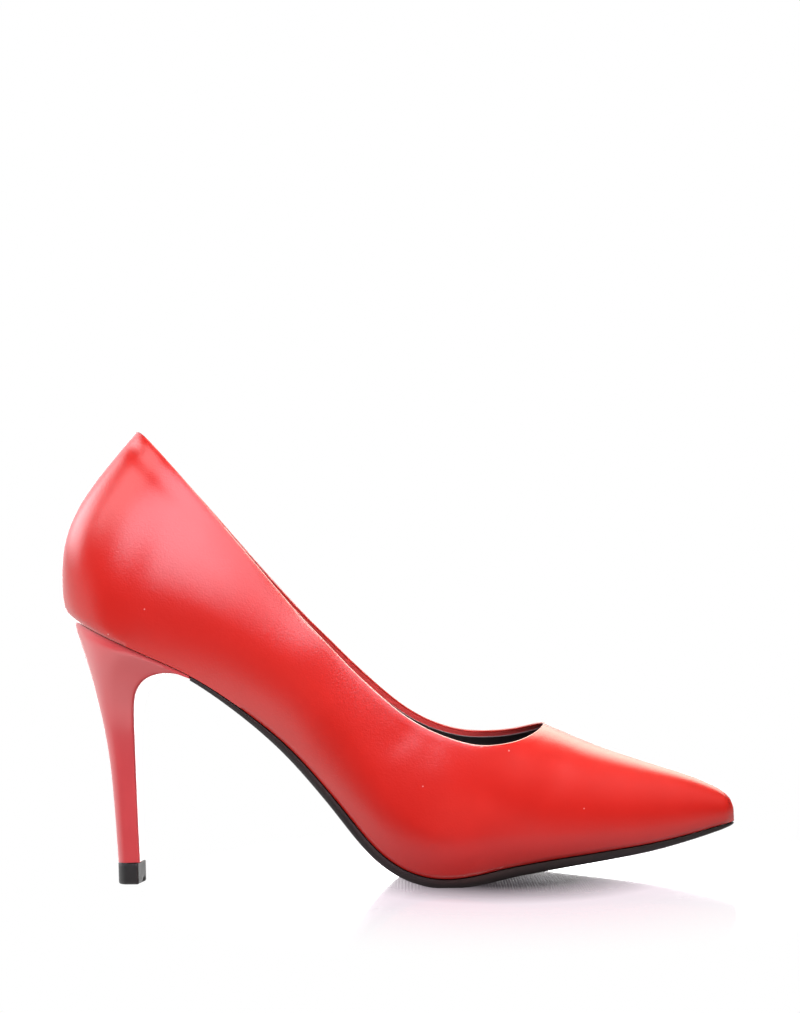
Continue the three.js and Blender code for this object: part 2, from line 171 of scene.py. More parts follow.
def curve(at, value):
    """Cubic pieces through a column's rows that never overshoot, and run straight past its ends."""
    rise = np.diff(value) / np.diff(at)
    same_way = rise[:-1] * rise[1:] > 0
    total = np.where(same_way, rise[:-1] + rise[1:], 1)
    middle = np.where(same_way, 2 * rise[:-1] * rise[1:] / total, 0)
    slope = np.concatenate([rise[:1], middle, rise[-1:]])

    def value_at(x):
        x = np.asarray(x, float)
        held = np.clip(x, at[0], at[-1])
        k = np.clip(np.searchsorted(at, held, side="right") - 1, 0, len(at) - 2)
        span = at[k + 1] - at[k]
        t = (held - at[k]) / span
        start = slope[k] * span
        end = slope[k + 1] * span
        step = value[k + 1] - value[k]
        bend = 3 * step - 2 * start - end + t * (start + end - 2 * step)
        past = np.where(x < at[0], rise[0], rise[-1]) * (x - held)
        return value[k] + t * (start + t * bend) + past

    return value_at


def eased(raw, low, high, length=EASE):
    """The same curve with its changes spread over a length that shrinks to nothing at both ends."""
    spots = np.linspace(-2, 2, 13)
    weights = np.exp(-spots**2 / 2)
    weights /= weights.sum()

    def value_at(x):
        x = np.asarray(x, float)
        reach = length * np.clip(np.minimum(x - low, high - x) / (3 * length), 0, 1)
        return sum(weight * raw(x + reach * spot) for weight, spot in zip(weights, spots))

    return value_at


def columns_of(columns, rows, low, high, length=EASE):
    """Smooth curves of a table's columns over its first column."""
    held = table(columns, rows)
    at = held.pop(columns.split()[0])
    return {name: eased(curve(at, value), low, high, length) for name, value in held.items()}


last = columns_of(LAST_COLUMNS, LAST_ROWS, HEEL_BACK, TOE_TIP)
back_offset = columns_of("height offset", BACK_ROWS, 0, BACK_TOP)["offset"]
collar = columns_of("x outer higher", COLLAR_ROWS, COLLAR_BACK, THROAT)
sole_thickness = columns_of("x thick", SOLE_ROWS, BREAST, TOE_TIP)["thick"]
heel_middle = float(last["swing"](HEEL_BACK))


# Form of the last

def side_of(offset):
    """The side of the shoe that an offset across it is on."""
    return "outer" if offset < 0 else "inner"


def closing(x):
    """How far the plan has closed at the round seat and at the toe, from 1 to 0."""
    seat = np.clip((HEEL_BACK + SEAT_ROUND - x) / SEAT_ROUND, 0, 1)
    toe = np.clip((x - TOE_TIP + TOE_ROUND) / TOE_ROUND, 0, 1)
    return np.sqrt(1 - seat**2) * np.sqrt(1 - toe**2)


def underside(x, offset):
    """Height of the last's underside at a place across the foot."""
    foot = np.where(offset < 0, last["outerFoot"](x), last["innerFoot"](x))
    share = np.clip(offset / foot, -1, 1)
    return last["feather"](x) + last["arch"](x) * (1 + share) / 2 - last["belly"](x) * (1 - share**2)


def inset_plan(x, side, inset):
    """Place and offset on the feather line, moved into the foot by an inset."""
    heel_end = 1 - smoothstep(x, HEEL_BACK, BREAST)
    toe_end = smoothstep(x, THROAT, TOE_TIP)
    moved = x + inset * heel_end - TOE_INSET_SHARE * inset * toe_end
    foot = last[side + "Foot"](moved)
    half = closing(x) * np.maximum(foot - inset, LEAST_FOOT_SHARE * foot)
    return moved, SIGN[side] * half


def lean_at(x, height):
    """How far a section leans at a height, following the back line at the heel."""
    fade = 1 - smoothstep(x, HEEL_BACK, HEEL_BACK + BACK_LINE_REACH)
    return blend(last["lean"](x) * height, back_offset(height), fade)


def raised(x, offset, height):
    """A place on the underside lifted by a height, leaning with its section."""
    z = underside(x, offset) + height
    return np.stack(np.broadcast_arrays(x + last["lean"](x) * height, last["swing"](x) + offset, z), -1)


def shifted(x, offset, distance):
    """A place on the underside moved along its normal."""
    step = 0.5
    slope = (underside(x + step, offset) - underside(x - step, offset)) / (2 * step)
    length = np.sqrt(1 + slope**2)
    z = underside(x, offset) + distance / length
    return np.stack(np.broadcast_arrays(x - distance * slope / length, last["swing"](x) + offset, z), -1)


def sections(x):
    """The last's columns at each station, ready to meet rows of heights."""
    held = {name: value(x)[:, None] for name, value in last.items()}
    held["x"] = x[:, None]
    held["closing"] = closing(x)[:, None]
    return held


def wall(at, side, height):
    """Points of the upper's outer face at heights above the feather line."""
    girth = at[side + "Girth"]
    foot = at[side + "Foot"]
    low = girth - (girth - foot) * (1 - np.clip(height / at["girthAt"], 0, 1))**2
    share = np.clip((height - at["girthAt"]) / (at["crown"] - at["girthAt"]), 0, 1)
    high = girth * (1 - share**at["full"])**(1 / at["full"])
    half = np.where(height < at["girthAt"], low, high)
    x = at["x"] + lean_at(at["x"], height)
    y = at["swing"] + SIGN[side] * at["closing"] * half
    arch = at["arch"] if side == "inner" else 0
    return np.stack(np.broadcast_arrays(x, y, at["feather"] + arch + height), -1)


def topline(x, side):
    """Height of the topline, with its point at the heel rounded off."""
    higher = collar["higher"](x) if side == "inner" else 0
    over = (collar["outer"](x) + higher - PEAK) / PEAK_SOFTNESS
    return PEAK + PEAK_SOFTNESS * -np.logaddexp(0, -over)


def halved(keeps, low, high, times=36):
    """The highest value between two that still keeps a condition."""
    for _ in range(times):
        middle = (low + high) / 2
        kept = keeps(middle)
        low = np.where(kept, middle, low)
        high = np.where(kept, high, middle)
    return low


def collar_top(at, side):
    """Height of each section's wall: at the topline, or at the crown ahead of the throat."""
    def under(height):
        point = wall(at, side, height)
        return point[..., 2] < topline(point[..., 0], side)

    closed = at["x"] >= THROAT
    return np.where(closed, at["crown"], halved(under, np.zeros_like(at["crown"]), at["crown"]))


def wall_heights(at, top, lower_rows, upper_rows):
    """Heights of a section's rows, evenly turned round the superellipse above the girth."""
    low = FEATHER_RISE + (at["girthAt"] - FEATHER_RISE) * np.linspace(0, 1, lower_rows, endpoint=False)
    above = at["crown"] - at["girthAt"]
    power = 2 / at["full"]
    end = np.arcsin(np.clip((top - at["girthAt"]) / above, 0, 1)**(1 / power))
    whole = blend(end, math.pi / 2, smoothstep(at["x"], 0, THROAT - THROAT_REACH))
    turn = np.minimum(end, whole * np.linspace(0, 1, upper_rows))
    return np.concatenate([low, at["girthAt"] + above * np.sin(turn)**power], axis=1)


def toe_stations():
    """Places round the toe, closer together towards its tip."""
    return TOE_TIP - TOE_ROUND + TOE_ROUND * np.sin(np.linspace(0, math.pi / 2, TOE_STEPS))


def stations():
    """Places of the sections, close together at the round heel, the throat and the toe."""
    seat = SEAT_ROUND * (1 - np.cos(np.linspace(0, math.pi / 2, SEAT_STEPS)))
    throat = 1 - np.linspace(1, 0, THROAT_STEPS)**2
    runs = [
        HEEL_BACK + seat,
        np.linspace(HEEL_BACK + SEAT_ROUND, THROAT - THROAT_REACH, WAIST_STEPS),
        THROAT - THROAT_REACH + THROAT_REACH * throat,
        np.linspace(THROAT, THROAT + THROAT_AHEAD, THROAT_AHEAD_STEPS),
        np.linspace(THROAT + THROAT_AHEAD, TOE_TIP - TOE_ROUND, VAMP_STEPS),
        toe_stations(),
    ]
    return np.concatenate([runs[0]] + [run[1:] for run in runs[1:]])


# Meshes

class Skin:
    """A closed mesh gathered from grids of points, with shared points merged at the end."""

    def __init__(self):
        self.points = []
        self.count = 0
        self.quads = []
        self.marks = []

    def grid(self, points):
        """Takes in a grid of points and returns their numbers."""
        shape = points.shape[:2]
        self.points.append(points.reshape(-1, 3))
        index = np.arange(self.count, self.count + shape[0] * shape[1]).reshape(shape)
        self.count += index.size
        return index

    def cover(self, rows, turned=False, mark=0):
        """Faces over a grid of point numbers, marked with their material's place."""
        corners = [rows[:-1, :-1], rows[1:, :-1], rows[1:, 1:], rows[:-1, 1:]]
        quads = np.stack([corner.ravel() for corner in corners], -1)
        self.quads.append(quads[:, ::-1] if turned else quads)
        self.marks.append(np.full(len(quads), mark))

    def tube(self, rings, from_middle=False):
        """Rings around a body, closed at both ends by strips across it.

        A ring starts at a corner, or at the middle of its front.
        """
        index = self.grid(rings)
        self.cover(np.concatenate([index, index[:, :1]], axis=1))
        half = rings.shape[1] // 2
        for end, turned in ((index[0], False), (index[-1], True)):
            left = end[:half]
            right = end[half:][::-1]
            if from_middle:
                left = end[:half + 1]
                right = np.concatenate([end[:1], right])
            self.cover(np.stack([left, right], -1), turned)

    def faces(self):
        """Merged points and faces, with outward faces and no repeated corners."""
        points = np.concatenate(self.points)
        rounded = np.round(points, MERGE_DIGITS)
        first, merged = np.unique(rounded, axis=0, return_index=True, return_inverse=True)[1:]
        points = points[first]
        quads = merged.ravel()[np.concatenate(self.quads)]
        marks = np.concatenate(self.marks)
        a, b, c, d = (points[quads[:, k]] for k in range(4))
        if np.einsum("ij,ij->", a, np.cross(b, c) + np.cross(c, d)) < 0:
            quads = quads[:, ::-1]
        kept = []
        kept_marks = []
        for quad, mark in zip(quads.tolist(), marks.tolist()):
            face = [corner for k, corner in enumerate(quad) if corner != quad[k - 1]]
            if len(set(face)) == len(face) and len(face) > 2:
                kept.append(face)
                kept_marks.append(mark)
        return points, kept, kept_marks

    def piece(self, name, materials, sharp_deg):
        """A Blender object of the gathered mesh, in metres, riding on the shoe's one body."""
        points, faces, marks = self.faces()
        mesh = bpy.data.meshes.new(name)
        mesh.from_pydata((points * MM).tolist(), [], faces)
        for material in materials:
            mesh.materials.append(material)
        mesh.polygons.foreach_set("material_index", marks)
        mesh.shade_smooth()
        mesh.set_sharp_from_angle(angle=math.radians(sharp_deg))
        mesh.update()
        body = bpy.data.objects.new(name, mesh)
        bpy.context.scene.collection.objects.link(body)
        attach(body, "root")
        return body


def shared_normals(grids):
    """Outward normals on the two sides' grids, shared where the sides meet."""
    points = np.concatenate([grids[side].reshape(-1, 3) for side in SIDES])
    rounded = np.round(points, MERGE_DIGITS)
    merged = np.unique(rounded, axis=0, return_inverse=True)[1].ravel()
    total = np.zeros((merged.max() + 1, 3))
    shape = grids["outer"].shape[:2]
    index = merged.reshape((2,) + shape)
    for k, side in enumerate(SIDES):
        grid = grids[side]
        facing = np.cross(grid[1:, 1:] - grid[:-1, :-1], grid[:-1, 1:] - grid[1:, :-1])
        facing = facing * -SIGN[side]
        for corner in (index[k, :-1, :-1], index[k, 1:, :-1], index[k, 1:, 1:], index[k, :-1, 1:]):
            np.add.at(total, corner.ravel(), facing.reshape(-1, 3))
    length = np.linalg.norm(total, axis=1, keepdims=True)
    normals = (total / np.maximum(length, 1e-12))[merged]
    return dict(zip(SIDES, normals.reshape((2,) + shape + (3,))))


def dense_line(points, step=0.25):
    """Points at even steps along a line through given points."""
    gaps = np.linalg.norm(np.diff(points, axis=0), axis=1)
    along = np.concatenate([[0], np.cumsum(gaps)])
    spots = np.linspace(0, along[-1], int(along[-1] / step) + 2)
    return np.stack([np.interp(spots, along, points[:, k]) for k in range(3)], -1)


def tree_of(points):
    tree = KDTree(len(points))
    for k, point in enumerate(points):
        tree.insert(point, k)
    tree.balance()
    return tree


def distances(tree, points):
    """How far each point of a grid is from the nearest point of a tree."""
    flat = points.reshape(-1, 3)
    return np.array([tree.find(point)[2] for point in flat]).reshape(points.shape[:-1])


# Creases of the upper

# Each crease in the shoe's own sizes: its ends as x and z, width, lift and how softly it ends
CREASES = [
    {"sides": SIDES, "start": (-28, 88), "end": (2, 58), "width": 9, "lift": 1.0, "fade": 9},
    {"sides": SIDES, "start": (2, 58), "end": (34, 47), "width": 8, "lift": 0.7, "fade": 8},
    {"sides": OUTER, "start": (6.5, 56), "end": (-4.5, 45), "width": 4.2, "lift": -0.2, "fade": 6},
    {"sides": OUTER, "start": (11, 53), "end": (-1, 41), "width": 4.2, "lift": 0.04, "fade": 6},
    {"sides": OUTER, "start": (55, 42), "end": (47, 26), "width": 5, "lift": -0.2, "fade": 6},
]


def crease_relief(points, side):
    """How far the creases lift or sink the outer face."""
    lift = np.zeros(points.shape[:-1])
    for crease in CREASES:
        if side not in crease["sides"]:
            continue
        start = np.array(crease["start"])
        along = np.array(crease["end"]) - start
        length = np.linalg.norm(along)
        along = along / length
        across = np.array([-along[1], along[0]])
        here = points[..., [0, 2]] - start
        run = here @ along
        off = here @ across
        ends = smoothstep(run, -crease["fade"], crease["fade"])
        ends = ends * (1 - smoothstep(run, length - crease["fade"], length + crease["fade"]))
        lift += crease["lift"] * ends * np.exp(-(off / crease["width"])**2)
    return lift


places = stations()
cuts = sections(places)
open_count = int(np.searchsorted(places, THROAT)) + 1
collar_tops = {side: collar_top(cuts, side) for side in SIDES}
edge_points = {side: wall(cuts, side, collar_tops[side])[:open_count, 0] for side in SIDES}
edge_tree = tree_of(np.concatenate([dense_line(edge_points[side]) for side in SIDES]))

# The turned-over edge: its ridge and the trough under it, and where they fade
RIDGE_LIFT = 0.14
RIDGE_BELOW_EDGE = 1.4
RIDGE_WIDTH = 1.3
RIDGE_SHARE_AHEAD = 0.4
TROUGH_DEPTH = 0.36
TROUGH_BELOW_EDGE = 5.6
TROUGH_WIDTH = 2.6
BACK_FADE = (6, 15)
HEEL_FADE = (-90, -62)


def fold_relief(points, away):
    """The turned-over edge: a soft ridge along the topline with a trough under it at the heel."""
    aside = np.abs(points[..., 1] - heel_middle)
    off_back = smoothstep(aside, *BACK_FADE)
    at_heel = 1 - smoothstep(points[..., 0], *HEEL_FADE)
    ridge = RIDGE_LIFT * np.exp(-((away - RIDGE_BELOW_EDGE) / RIDGE_WIDTH)**2)
    trough = TROUGH_DEPTH * np.exp(-((away - TROUGH_BELOW_EDGE) / TROUGH_WIDTH)**2)
    return (ridge * blend(RIDGE_SHARE_AHEAD, 1, at_heel) - trough * at_heel) * off_back


def wall_grids(tops, lower_rows, upper_rows):
    """Both sides' outer faces up to given heights, creased, with their normals."""
    smooth = {}
    for side in SIDES:
        heights = wall_heights(cuts, tops[side], lower_rows, upper_rows)
        smooth[side] = wall(cuts, side, heights)
    normals = shared_normals(smooth)
    grids = {}
    for side in SIDES:
        away = distances(edge_tree, smooth[side])
        lift = crease_relief(smooth[side], side) + fold_relief(smooth[side], away)
        grids[side] = smooth[side] + normals[side] * lift[..., None]
    return grids, normals


# Rows of a rolled edge, how far it bulges for its thickness, and the material places of a wall
ROLL_ROWS = 7
ROLL_BULGE = 0.55
OUTSIDE, EDGE, UNDER_LINING, ABOVE_LINING = range(4)


def rolled_edge(outside, inside, normals, turned, bulge):
    """Rows that roll over from the outer face to the inner one along the topline."""
    along = np.gradient(outside, axis=0)
    along = along / np.linalg.norm(along, axis=1, keepdims=True)
    up = np.cross(along, normals) * turned
    middle = (outside + inside) / 2
    across = (outside - inside) / 2
    turn = np.linspace(0, math.pi, ROLL_ROWS + 2)[1:-1]
    return np.stack([middle + across * math.cos(t) + up * bulge * math.sin(t) for t in turn], 1)


def shell(skin, face, depths, foot, closed_from, edge_rows, edge_from=HEEL_BACK, hidden_rows=0):
    """A wall between two depths under the outer face, rolled at its edge and closed at its foot.

    The roll's edge rows take the edge material ahead of a place (a pale painted highlight on the
    leather), and the inside rows that the lining hides are told from those above it.
    """
    grids, normals = face
    outer, inner = depths
    for side in SIDES:
        turned = side == "inner"
        outside = grids[side] - normals[side] * outer
        inside = grids[side] - normals[side] * inner
        outside_foot, inside_foot = foot(side)
        outside = np.concatenate([outside_foot, outside], axis=1)
        inside = np.concatenate([inside_foot, inside], axis=1)
        here = slice(0, closed_from + 1)
        roll = rolled_edge(outside[here, -1], inside[here, -1], normals[side][here, -1],
                           SIGN[side], (inner - outer) * ROLL_BULGE)
        through = np.linspace(outside[closed_from, -1], inside[closed_from, -1], ROLL_ROWS + 2)
        roll[-1] = through[1:-1]
        outside_index = skin.grid(outside)
        inside_index = skin.grid(inside)
        roll_index = skin.grid(roll)
        skin.cover(outside_index, turned, OUTSIDE)
        skin.cover(inside_index[:, :hidden_rows + 1], not turned, UNDER_LINING)
        skin.cover(inside_index[:, hidden_rows:], not turned, ABOVE_LINING)
        skin.cover(np.stack([inside_index[:, 0], outside_index[:, 0]], -1), turned, OUTSIDE)
        rim = np.concatenate([outside_index[here, -1:], roll_index, inside_index[here, -1:]], axis=1)
        first, final = edge_rows
        begin = int(np.searchsorted(outside[here, -1, 0], edge_from))
        skin.cover(rim[:, :first + 1], turned, OUTSIDE)
        skin.cover(rim[:begin + 1, first:final + 1], turned, OUTSIDE)
        skin.cover(rim[begin:, first:final + 1], turned, EDGE)
        skin.cover(rim[:, final:], turned, OUTSIDE)


# Materials

def node_material(name):
    material = bpy.data.materials.new(name)
    material.use_nodes = True
    nodes = material.node_tree.nodes
    shader = nodes["Principled BSDF"]
    return material, nodes, material.node_tree.links, shader


def noise(nodes, links, coords, scale, detail=2.0, roughness=0.5):
    texture = nodes.new("ShaderNodeTexNoise")
    texture.inputs["Scale"].default_value = scale
    texture.inputs["Detail"].default_value = detail
    texture.inputs["Roughness"].default_value = roughness
    links.new(coords, texture.inputs["Vector"])
    return texture.outputs["Fac"]


def ramp(nodes, links, source, low, high, start, end):
    """Maps a range of a texture to a range of values."""
    mapped = nodes.new("ShaderNodeMapRange")
    mapped.inputs["From Min"].default_value = low
    mapped.inputs["From Max"].default_value = high
    mapped.inputs["To Min"].default_value = start
    mapped.inputs["To Max"].default_value = end
    links.new(source, mapped.inputs["Value"])
    return mapped.outputs["Result"]


def two_tone(nodes, links, share, first, second):
    mix = nodes.new("ShaderNodeMix")
    mix.data_type = "RGBA"
    mix.inputs["A"].default_value = (*first, 1)
    mix.inputs["B"].default_value = (*second, 1)
    links.new(share, mix.inputs["Factor"])
    return mix.outputs["Result"]


def math_node(nodes, links, operation, *values):
    """One operation on numbers and on other nodes' values."""
    node = nodes.new("ShaderNodeMath")
    node.operation = operation
    for socket, value in zip(node.inputs, values):
        if isinstance(value, (int, float)):
            socket.default_value = value
        else:
            links.new(value, socket)
    return node.outputs["Value"]


# Clouds of colour and patches of gloss: their size in millimetres and the range of noise they use
CLOUD_SIZE = 14
CLOUD_RANGE = (0.35, 0.65)
PATCH_SIZE = 5
PATCH_RANGE = (0.3, 0.7)
COAT_ROUGHNESS = 0.32


def grained(name, colours, roughness, grain_mm, depth_mm, spread=0.05, coat=0.0, specular=0.5):
    """A skin with cloudy colour, uneven gloss and fine grain."""
    material, nodes, links, shader = node_material(name)
    coords = nodes.new("ShaderNodeTexCoord").outputs["Object"]
    cloud = noise(nodes, links, coords, 1 / (CLOUD_SIZE * MM), 3)
    share = ramp(nodes, links, cloud, *CLOUD_RANGE, 0, 1)
    links.new(two_tone(nodes, links, share, *colours), shader.inputs["Base Color"])
    patches = noise(nodes, links, coords, 1 / (PATCH_SIZE * MM), 4, 0.6)
    gloss = ramp(nodes, links, patches, *PATCH_RANGE, roughness - spread, roughness + spread)
    links.new(gloss, shader.inputs["Roughness"])
    grain = noise(nodes, links, coords, 1 / (grain_mm * MM))
    bump = nodes.new("ShaderNodeBump")
    bump.inputs["Strength"].default_value = 1.0
    bump.inputs["Distance"].default_value = depth_mm * MM
    links.new(grain, bump.inputs["Height"])
    links.new(bump.outputs["Normal"], shader.inputs["Normal"])
    shader.inputs["Specular IOR Level"].default_value = specular
    shader.inputs["Coat Weight"].default_value = coat
    shader.inputs["Coat Roughness"].default_value = COAT_ROUGHNESS
    return material


# Rub marks on the outer side: their size and places in millimetres, as x and z
SPECK_SIZE = 0.3
SPECK_COLOUR = (0.5, 0.18, 0.16, 1)
SPECKS = [(36, 44.5), (7, 34), (61, 24), (-84, 95), (-97, 87)]


def add_specks(material, spots):
    """Tiny pale rub marks at places on the outer side."""
    nodes = material.node_tree.nodes
    links = material.node_tree.links
    shader = nodes["Principled BSDF"]
    flat = nodes.new("ShaderNodeVectorMath")
    flat.operation = "MULTIPLY"
    flat.inputs[1].default_value = (1, 0, 1)
    coords = nodes.new("ShaderNodeTexCoord").outputs["Object"]
    links.new(coords, flat.inputs[0])
    side = nodes.new("ShaderNodeSeparateXYZ")
    links.new(coords, side.inputs["Vector"])
    share = None
    for x, z in spots:
        away = nodes.new("ShaderNodeVectorMath")
        away.operation = "DISTANCE"
        away.inputs[1].default_value = (x * MM, 0, z * MM)
        links.new(flat.outputs["Vector"], away.inputs[0])
        mark = ramp(nodes, links, away.outputs["Value"], SPECK_SIZE * MM, 0.5 * SPECK_SIZE * MM, 0, 1)
        share = mark if share is None else math_node(nodes, links, "MAXIMUM", share, mark)
    outer = math_node(nodes, links, "LESS_THAN", side.outputs["Y"], 0.0)
    share = math_node(nodes, links, "MULTIPLY", share, outer)
    mix = nodes.new("ShaderNodeMix")
    mix.data_type = "RGBA"
    links.new(shader.inputs["Base Color"].links[0].from_socket, mix.inputs["A"])
    mix.inputs["B"].default_value = SPECK_COLOUR
    links.new(share, mix.inputs["Factor"])
    links.new(mix.outputs["Result"], shader.inputs["Base Color"])


# Each material: its two tones, roughness, size and depth of its grain, then what sets it apart
red_leather = grained("red_leather", ((0.40, 0.011, 0.007), (0.385, 0.010, 0.006)),
                      0.26, 0.6, 0.05, spread=0.005)
add_specks(red_leather, SPECKS)
# A pale copy of the leather on the rolled topline edge: a painted highlight, since the edge is the same
# folded leather
painted_highlight_edge = grained("painted_highlight_edge", ((0.52, 0.25, 0.20), (0.46, 0.20, 0.16)), 0.45, 0.5, 0.01)
# A brighter copy of the red leather on the turned-over band inside the topline: painted light, since the
# band is the same leather as the outside
painted_light_turned_edge = grained("painted_light_turned_edge", ((0.70, 0.072, 0.066), (0.66, 0.062, 0.056)), 0.4, 0.6, 0.02)
black_lining = grained("black_lining", ((0.018, 0.013, 0.013), (0.013, 0.010, 0.010)),
                       0.6, 0.7, 0.02, specular=0.2)
lining_edge = grained("lining_edge", ((0.20, 0.13, 0.13), (0.12, 0.08, 0.08)), 0.7, 0.4, 0.02)
sock_black = grained("sock_black", ((0.012, 0.010, 0.011), (0.008, 0.007, 0.008)), 0.66, 0.9, 0.02)
sole_rubber = grained("sole_rubber", ((0.010, 0.007, 0.0065), (0.007, 0.005, 0.0045)),
                      0.52, 0.35, 0.01, specular=0.35)
heel_cover = grained("heel_cover", ((0.48, 0.042, 0.046), (0.46, 0.038, 0.042)),
                     0.4, 0.9, 0.008, spread=0.02, coat=0.5)
tip_rubber = grained("tip_rubber", ((0.012, 0.011, 0.011), (0.008, 0.008, 0.008)), 0.5, 0.35, 0.012)


# Upper and lining

# Rows of the rolled edge that carry the pale painted highlight, where it begins, the rows that the
# lining hides, and the share of the wall's height that the lining has at least
UPPER_HIGHLIGHT_ROWS = (1, 5)
UPPER_HIGHLIGHT_FROM = -58.0
UPPER_HIDDEN_ROWS = 18
LINING_EDGE_ROWS = (0, ROLL_ROWS + 1)
LINING_LEAST_SHARE = 0.2


def leather_foot(side):
    """The leather turned in under the insole, from the margin's inner edge to the feather line."""
    under = []
    above = []
    for inset in np.linspace(TURN_IN, 0, TURN_IN_ROWS):
        moved, offset = inset_plan(places, side, inset)
        under.append(raised(moved, offset, 0.0))
        if inset > WALL:
            above.append(raised(moved, offset, LEATHER))
    return np.stack(under, 1), np.stack(above, 1)


def make_upper():
    """The leather, with a pale painted highlight along its rolled topline edge, and its inside."""
    face = wall_grids(collar_tops, *UPPER_ROWS)
    skin = Skin()
    shell(skin, face, (0.0, LEATHER), leather_foot, open_count - 1,
          UPPER_HIGHLIGHT_ROWS, UPPER_HIGHLIGHT_FROM, UPPER_HIDDEN_ROWS)
    materials = [red_leather, painted_highlight_edge, black_lining, painted_light_turned_edge]
    upper = skin.piece("upper_leather", materials, sharp_deg=70)
    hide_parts("upper")
    return upper


def lining_tops():
    """Height where the lining ends, a set way below the topline."""
    tops = {}
    for side in SIDES:
        def clear(height):
            return distances(edge_tree, wall(cuts, side, height)) >= LINING_BELOW_EDGE

        whole = collar_tops[side]
        below = halved(clear, whole * LINING_LEAST_SHARE, whole, times=24)
        tops[side] = np.where(clear(whole), whole, below)
    return tops


def make_lining():
    """The lining inside the leather, which ends at the feather line and has no turned-in foot."""
    tops = lining_tops()
    face = wall_grids(tops, *LINING_ROWS)
    closed = (tops["outer"] >= cuts["crown"]) & (tops["inner"] >= cuts["crown"])
    closed_from = int(np.argmax(closed[:, 0]))

    def no_foot(side):
        no_rows = face[0][side][:, :0]
        return no_rows, no_rows

    skin = Skin()
    shell(skin, face, (LEATHER + LINING_GAP, WALL), no_foot, closed_from, LINING_EDGE_ROWS)
    materials = [black_lining, lining_edge, black_lining, black_lining]
    return skin.piece("lining", materials, sharp_deg=70)


# Insole, sole, heel and top piece

# The sock: its level over the last's underside and the roll of its edge, from a share of its width
INSOLE_LEVEL = 1.9
SOCK_COLUMNS = 30
SOCK_ROLL = 0.35
SOCK_ROLL_FROM = 0.93


def make_sock():
    """The insole with its sock: a dished plate with rolled edges."""
    shares = np.sin(np.linspace(-math.pi / 2, math.pi / 2, SOCK_COLUMNS))
    rolls = SOCK_ROLL * smoothstep(np.abs(shares), SOCK_ROLL_FROM, 1.0)
    top = INSOLE_LEVEL + INSOLE_THICK - 2 * rolls
    bottom = INSOLE_LEVEL + rolls
    columns = []
    for heights, order in ((top, range(SOCK_COLUMNS)), (bottom, reversed(range(SOCK_COLUMNS)))):
        for k in order:
            moved, offset = inset_plan(places, side_of(shares[k]), INSOLE_INSET)
            columns.append(raised(moved, abs(shares[k]) * offset, heights[k]))
    skin = Skin()
    skin.tube(np.stack(columns, 1))
    sock = skin.piece("sock", [sock_black], sharp_deg=60)
    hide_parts("insole")
    return sock


# The sole's ribs under the forefoot, its insets, and its edge as rows of inset and share of depth
TREAD_PITCH = 1.05
TREAD_DEPTH = 0.28
TREAD_FROM = -4.0
TREAD_TO = 98.0
TREAD_BORDER = 3.4
TREAD_BORDER_SOFT = 0.8
TREAD_END_SOFT = 2.0
RIB_STEPS = 4
SHANK_STEPS = 44
BARE_TOE_STEPS = 12
SOLE_COLUMNS = 26
SOLE_TOP_INSET = SOLE_INSET + 0.3
SOLE_UNDER_INSET = SOLE_INSET + 1.3
SOLE_EDGE = [[0.0, 0.05], [-0.12, 0.3], [-0.05, 0.55], [0.25, 0.8], [0.75, 0.95]]


def sole_stations():
    """Places along the sole, with a few steps to each rib."""
    runs = [
        np.linspace(BREAST, TREAD_FROM, SHANK_STEPS)[:-1],
        np.arange(TREAD_FROM, TREAD_TO, TREAD_PITCH / RIB_STEPS),
        np.linspace(TREAD_TO, TOE_TIP - TOE_ROUND, BARE_TOE_STEPS)[:-1],
        toe_stations(),
    ]
    return np.concatenate(runs)


def make_sole():
    """The sole: a smooth edge that rounds under to a ribbed forefoot."""
    x = sole_stations()
    thick = sole_thickness(x)
    across = np.linspace(-1, 1, SOLE_COLUMNS)
    columns = []

    def place(side, inset, share, depth):
        moved, offset = inset_plan(x, side, inset)
        return shifted(moved, share * offset, -SEAM_GAP - depth)

    for share in across:
        columns.append(place(side_of(share), SOLE_TOP_INSET, abs(share), 0))
    for inset, down in SOLE_EDGE:
        columns.append(place("inner", SOLE_INSET + inset, 1, thick * down))
    begins = smoothstep(x, TREAD_FROM, TREAD_FROM + TREAD_END_SOFT)
    tread = begins * (1 - smoothstep(x, TREAD_TO - TREAD_END_SOFT, TREAD_TO))
    wave = 0.5 - 0.5 * np.cos(2 * math.pi * (x - TREAD_FROM) / TREAD_PITCH)
    for share in across[::-1]:
        side = side_of(share)
        half = np.abs(inset_plan(x, side, SOLE_UNDER_INSET)[1])
        from_edge = half * (1 - abs(share))
        inside = smoothstep(from_edge, TREAD_BORDER - TREAD_BORDER_SOFT, TREAD_BORDER)
        groove = TREAD_DEPTH * wave * tread * inside
        bottom = place(side, SOLE_UNDER_INSET, abs(share), thick)
        bottom[:, 2] = np.maximum(bottom[:, 2], 0) + groove
        columns.append(bottom)
    for inset, down in SOLE_EDGE[::-1]:
        columns.append(place("outer", SOLE_INSET + inset, 1, thick * down))
    rings = np.stack(columns, 1)
    rings[..., 2] = np.maximum(rings[..., 2], 0)
    skin = Skin()
    skin.tube(rings)
    sole = skin.piece("sole", [sole_rubber], sharp_deg=40)
    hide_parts("outsole")
    return sole


# The heel: its rounded front corners, its steps round a section and its place under the seat
CORNER = 0.9
CORNER_LIMIT = 0.45
HEEL_RINGS = 90
HEEL_EASE = 2.5
SEAT_SETBACK = 0.2
SEAT_END_GAP = 0.6
FRONT_STEPS = 7
CORNER_STEPS = 6
SIDE_STEPS = 9
BACK_STEPS = 18

